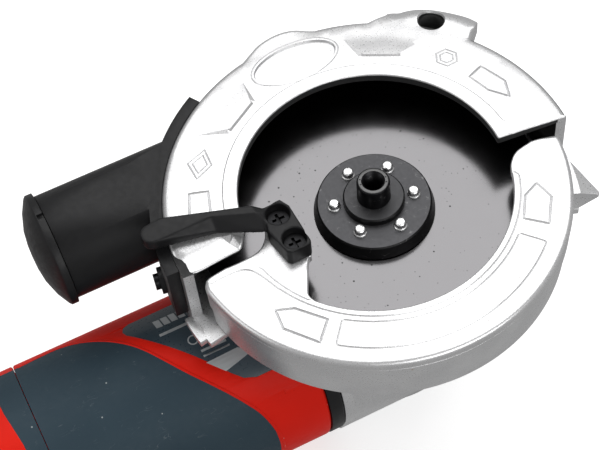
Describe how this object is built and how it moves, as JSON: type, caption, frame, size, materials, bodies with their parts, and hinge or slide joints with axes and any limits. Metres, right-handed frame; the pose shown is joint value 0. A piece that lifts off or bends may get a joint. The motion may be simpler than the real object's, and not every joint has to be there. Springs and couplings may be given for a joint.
{
  "type": "twin-blade hand saw",
  "caption": "Hand-held electric saw of the angle-grinder layout with a fixed and a retractable guard round a counter-rotating two-part spindle, blades removed.",
  "frame": {"origin": "on the spindle axis, at the face of the pin flange where the first blade seats (root of the blade pilot)", "axes": "+Z along the spindle, out of the disc side; +X towards the nose of the tool, the motor body lies along -X; +Y towards the fixed guard and dust outlet"},
  "size_m": [0.3919, 0.1506, 0.1296],
  "materials": {
    "cast_metal": "sand-cast and tumbled",
    "dark_plastic": "moulded, satin",
    "red_plastic": "moulded, semi-gloss",
    "slate_rubber": "soft-touch",
    "label_film": "printed film, no lettering",
    "black_steel": "blackened, satin",
    "bright_steel": "polished",
    "dark_plate": "glossy dark coat",
    "bare_steel": "machined",
    "copper": "enamelled wire",
    "carbon": "graphite",
    "film_capacitor": "dipped"
  },
  "bodies": {
    "root": {"upper_guard": "cast_metal", "guard_base": "cast_metal", "guard_screws": "bare_steel", "guard_spring": "bare_steel", "guard_retaining_ring": "black_steel", "floor_plate": "dark_plate", "floor_plate_screws": "bare_steel", "dust_duct": "dark_plastic", "duct_screw": "black_steel", "gear_head": "cast_metal", "gear_cover": "cast_metal", "base_screws": "bare_steel", "gear_head_screws": "black_steel", "air_baffle": "dark_plastic", "outer_spindle_bearing": "bright_steel", "gear_side_bearing": "bright_steel", "lower_bearing": "bright_steel", "spindle_seal": "dark_plastic", "bearing_circlip": "black_steel", "spindle_lock_spring": "bare_steel", "motor_housing": "red_plastic", "motor_grip": "slate_rubber", "rating_label": "label_film", "front_bearing": "bright_steel", "rear_bearing": "bright_steel", "stator_core": "bare_steel", "field_windings": "copper", "brush_holders": "copper", "carbon_brushes": "carbon", "brush_springs": "bare_steel", "handle_shell_right": "red_plastic", "handle_shell_left": "red_plastic", "handle_band": "slate_rubber", "handle_screws": "black_steel", "switch_body": "dark_plastic", "trigger_pin": "bare_steel", "trigger_spring": "bare_steel", "lock_off_spring": "bare_steel", "capacitor": "film_capacitor", "cord_inlet": "dark_plastic"},
    "outer_spindle": {"pin_flange": "black_steel", "drive_pins": "bright_steel", "upper_bevel_gear": "bare_steel", "inner_bushes": "copper"},
    "inner_spindle_unit": {"inner_spindle": "black_steel", "lower_bevel_gear": "bare_steel"},
    "armature": {"armature_shaft": "bare_steel", "armature_core": "bare_steel", "armature_windings": "copper", "commutator": "copper", "fan": "dark_plastic", "pinion": "bare_steel"},
    "swing_guard": {"moving_guard": "cast_metal", "guard_lever": "dark_plastic", "lever_screws": "black_steel"},
    "lock_button": {"spindle_lock_button": "dark_plastic"},
    "trigger": {"trigger": "dark_plastic"},
    "lock_off": {"lock_off_button": "dark_plastic"},
    "cap": {"dust_cap": "dark_plastic"}
  },
  "joints": [
    {"name": "motor_spin", "type": "hinge", "parent": "root", "child": "armature", "pos_m": [-0.1, 0, -0.074], "axis": [1, 0, 0], "continuous": true},
    {"name": "outer_spindle_spin", "type": "hinge", "parent": "root", "child": "outer_spindle", "pos_m": [0, 0, 0], "axis": [0, 0, 1], "continuous": true},
    {"name": "inner_spindle_spin", "type": "hinge", "parent": "root", "child": "inner_spindle_unit", "pos_m": [0, 0, 0], "axis": [0, 0, 1], "continuous": true},
    {"name": "guard_swing", "type": "hinge", "parent": "root", "child": "swing_guard", "pos_m": [0, 0, -0.016], "axis": [0, 0, 1], "range_deg": [-150, 0], "stiffness_Nm_per_rad": 0.08, "springref_deg": 14.32},
    {"name": "spindle_lock_press", "type": "slide", "parent": "root", "child": "lock_button", "axis": [0, -1, 0], "range_m": [0, 0.0032], "stiffness_N_per_m": 900, "springref_m": -0.001, "deforming": ["spindle_lock_spring"]},
    {"name": "trigger_pull", "type": "hinge", "parent": "root", "child": "trigger", "pos_m": [-0.194, -0.019, -0.074], "axis": [0, 0, 1], "range_deg": [-5, 0], "stiffness_Nm_per_rad": 1.2, "springref_deg": 2.86, "deforming": ["trigger_spring"]},
    {"name": "lock_off_press", "type": "slide", "parent": "root", "child": "lock_off", "axis": [0, 0, -1], "range_m": [0, 0.003], "stiffness_N_per_m": 900, "springref_m": -0.001, "deforming": ["lock_off_spring"]},
    {"name": "dust_cap_pull", "type": "slide", "parent": "root", "child": "cap", "axis": [-1, 0, 0], "range_m": [0, 0.03]}
  ],
  "couplings": [
    {"joint": "outer_spindle_spin", "follows": "motor_spin", "ratio": 0.25},
    {"joint": "inner_spindle_spin", "follows": "motor_spin", "ratio": -0.25}
  ]
}
